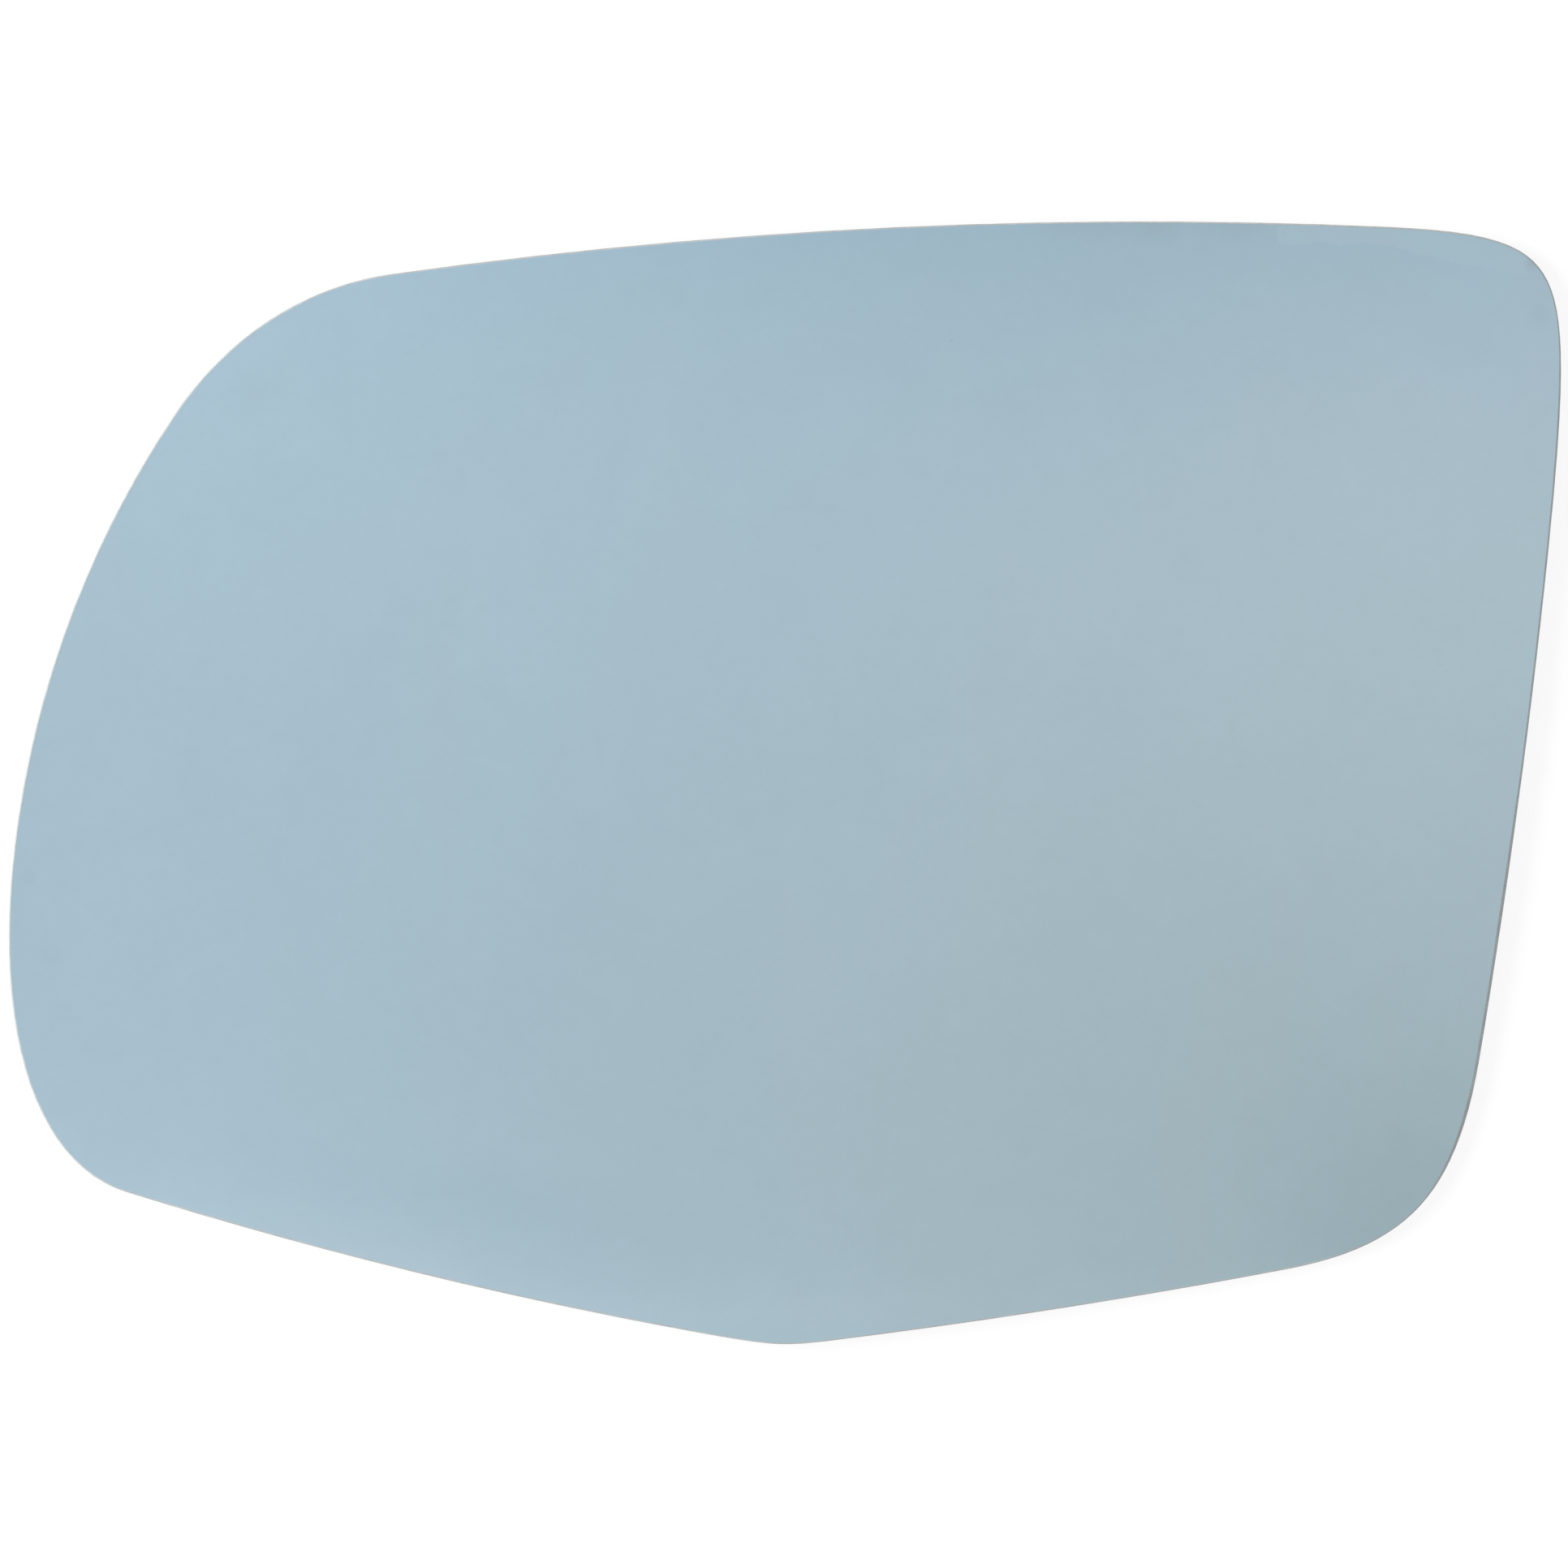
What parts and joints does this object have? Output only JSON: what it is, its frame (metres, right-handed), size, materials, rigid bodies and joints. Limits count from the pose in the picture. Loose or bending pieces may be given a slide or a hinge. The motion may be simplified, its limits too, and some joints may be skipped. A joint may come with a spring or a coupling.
{
  "type": "car door mirror glass",
  "caption": "Bent, silvered glass of a left-hand car door mirror: rounded outer end, slanted door side, low middle corner, ground rims.",
  "frame": {"origin": "middle of the outline's box, on the surface that the rim rests on", "axes": "+X from the rounded outer end to the door side, +Y to the edge that is uppermost on the car, +Z out of the reflecting face"},
  "size_m": [0.18, 0.13, 0.0055],
  "materials": {
    "silvered_glass": "polished, pale blue-grey reflecting face, silvered and lacquered back, finely ground rims"
  },
  "bodies": {
    "root": {"mirror_glass": "silvered_glass"}
  },
  "joints": []
}
